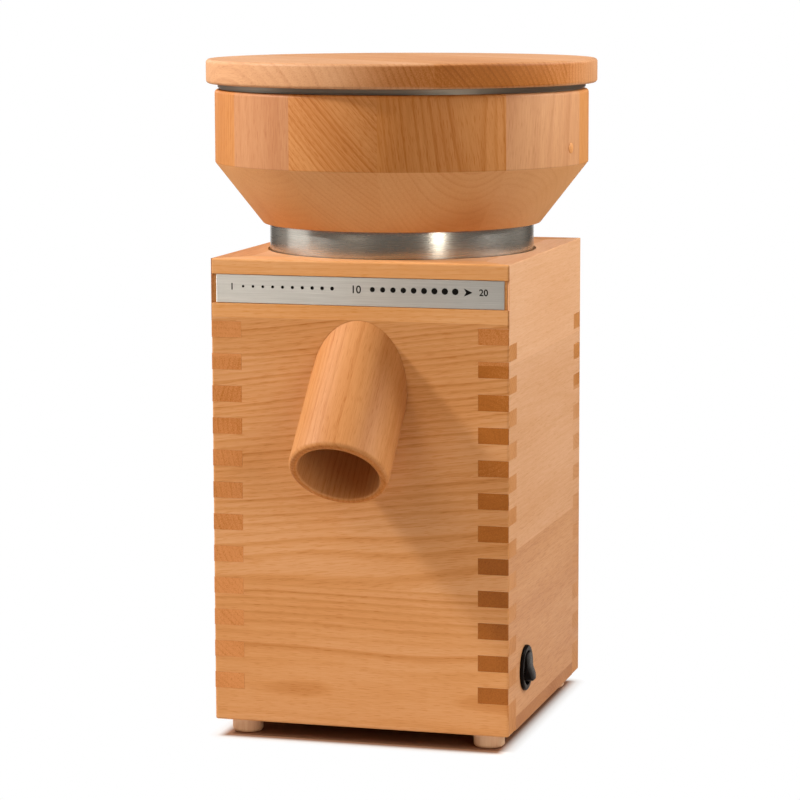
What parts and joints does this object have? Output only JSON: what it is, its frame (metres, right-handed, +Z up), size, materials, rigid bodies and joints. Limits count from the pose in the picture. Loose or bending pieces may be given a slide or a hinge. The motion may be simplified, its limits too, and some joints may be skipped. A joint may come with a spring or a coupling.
{
  "type": "electric grain mill",
  "caption": "Household grain mill: finger-jointed beech case with motor and millstones, turning wooden hopper with lid, slanted meal spout and rocker switch.",
  "frame": {"origin": "on the floor, under the middle of the mill's whole outline", "axes": "+Z up along the mill axis, -Y towards the side with the spout, +X towards the side with the switch"},
  "size_m": [0.23, 0.2676, 0.3908],
  "materials": {
    "case_beech": "oiled beech",
    "foot_wood": "turned beech, raw",
    "spout_beech": "oiled beech, turned",
    "hopper_beech": "oiled beech, glued and turned",
    "lid_beech": "oiled beech, turned",
    "brushed_stainless": "brushed",
    "zinc_steel": "zinc plated",
    "bright_steel": "ground",
    "black_gloss_plastic": "moulded",
    "black_plastic": "moulded",
    "cream_plastic": "moulded",
    "tan_plastic": "moulded",
    "brass": "stamped",
    "felt": "pressed felt",
    "cast_aluminium": "cast and machined",
    "lamination_steel": "stacked laminations",
    "copper": "varnished copper wire",
    "corundum": "bonded corundum and ceramic",
    "index_wood": "end of an oiled dowel",
    "aluminium_can": "drawn",
    "lead_blue": "insulated wire",
    "lead_brown": "insulated cable"
  },
  "bodies": {
    "housing": {"front_panel": "case_beech", "back_panel": "case_beech", "left_panel": "case_beech", "right_panel": "case_beech", "top_panel": "case_beech", "base_board": "case_beech", "feet": "foot_wood", "foot_screws": "zinc_steel", "base_screws": "zinc_steel", "scale_plate": "brushed_stainless", "spout": "spout_beech", "cord_gland": "black_plastic", "gland_nut": "black_plastic", "switch_body": "black_gloss_plastic", "switch_terminals": "brass", "mill_chamber": "cream_plastic", "chamber_screws": "zinc_steel", "shaft_seal": "felt", "motor_flange": "cast_aluminium", "motor_lower_bell": "cast_aluminium", "motor_stator": "lamination_steel", "motor_windings": "copper", "motor_bolts": "zinc_steel", "flange_screws": "zinc_steel", "upper_bearing": "bright_steel", "lower_bearing": "bright_steel", "carrier_springs": "zinc_steel", "capacitor": "aluminium_can", "capacitor_clip": "zinc_steel", "clip_screw": "zinc_steel", "terminal_block": "cream_plastic", "terminal_screws": "zinc_steel", "switch_leads": "lead_blue", "capacitor_leads": "lead_blue", "motor_cable": "lead_brown"},
    "rotor": {"motor_shaft": "bright_steel", "rotor_core": "lamination_steel", "cooling_fan": "black_plastic", "lower_carrier": "tan_plastic", "drive_pin": "zinc_steel", "stone_dowels": "zinc_steel", "lower_stone": "corundum", "stone_washer": "zinc_steel", "stone_bolt": "zinc_steel"},
    "stone_carrier": {"upper_carrier": "tan_plastic", "upper_stone": "corundum"},
    "hopper": {"hopper": "hopper_beech", "threaded_sleeve": "cream_plastic", "hopper_ring": "brushed_stainless", "hopper_screws": "zinc_steel", "index_dot": "index_wood"},
    "lid": {"lid": "lid_beech", "lid_band": "brushed_stainless"},
    "rocker": {"switch_rocker": "black_gloss_plastic"}
  },
  "joints": [
    {"name": "rotor_spin", "type": "hinge", "parent": "housing", "child": "rotor", "pos_m": [0, 0.01881, 0], "axis": [0, 0, 1], "continuous": true},
    {"name": "stone_setting", "type": "slide", "parent": "housing", "child": "stone_carrier", "axis": [0, 0, 1], "range_m": [-0.0011, 0.00053], "deforming": ["carrier_springs"]},
    {"name": "hopper_turn", "type": "hinge", "parent": "stone_carrier", "child": "hopper", "pos_m": [0, 0.01881, 0], "axis": [0, 0, 1], "range_deg": [-130, 60]},
    {"name": "lid_lift", "type": "slide", "parent": "hopper", "child": "lid", "axis": [0, 0, 1], "range_m": [0, 0.12]},
    {"name": "switch_rock", "type": "hinge", "parent": "housing", "child": "rocker", "pos_m": [0.0865, -0.03319, 0.0413], "axis": [0, 1, 0], "range_deg": [0, 24]}
  ],
  "couplings": [
    {"joint": "stone_setting", "follows": "hopper_turn", "m_per_rad": 0.00047746}
  ]
}
